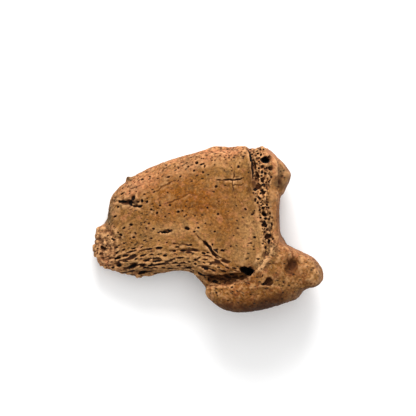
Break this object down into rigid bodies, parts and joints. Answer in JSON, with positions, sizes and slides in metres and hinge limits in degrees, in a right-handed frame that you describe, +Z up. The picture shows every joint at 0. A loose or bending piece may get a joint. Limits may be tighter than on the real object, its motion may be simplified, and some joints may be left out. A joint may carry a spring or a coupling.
{
  "type": "fossil cave bear claw bone",
  "caption": "Worn fossil claw bone of a cave bear: flat curved blade with a blunt spongy tip, a flared crest, a hollow joint face and a broad sole plate.",
  "frame": {"origin": "middle of the bounding box, on the surface that the bone lies on", "axes": "+X from the worn tip to the joint end, +Y to the back of the claw, +Z up, away from the surface"},
  "size_m": [0.0486, 0.0348, 0.0156],
  "materials": {
    "fossil_bone": "matt, porous, tan with orange-brown stains"
  },
  "bodies": {
    "root": {"claw_bone": "fossil_bone"}
  },
  "joints": []
}
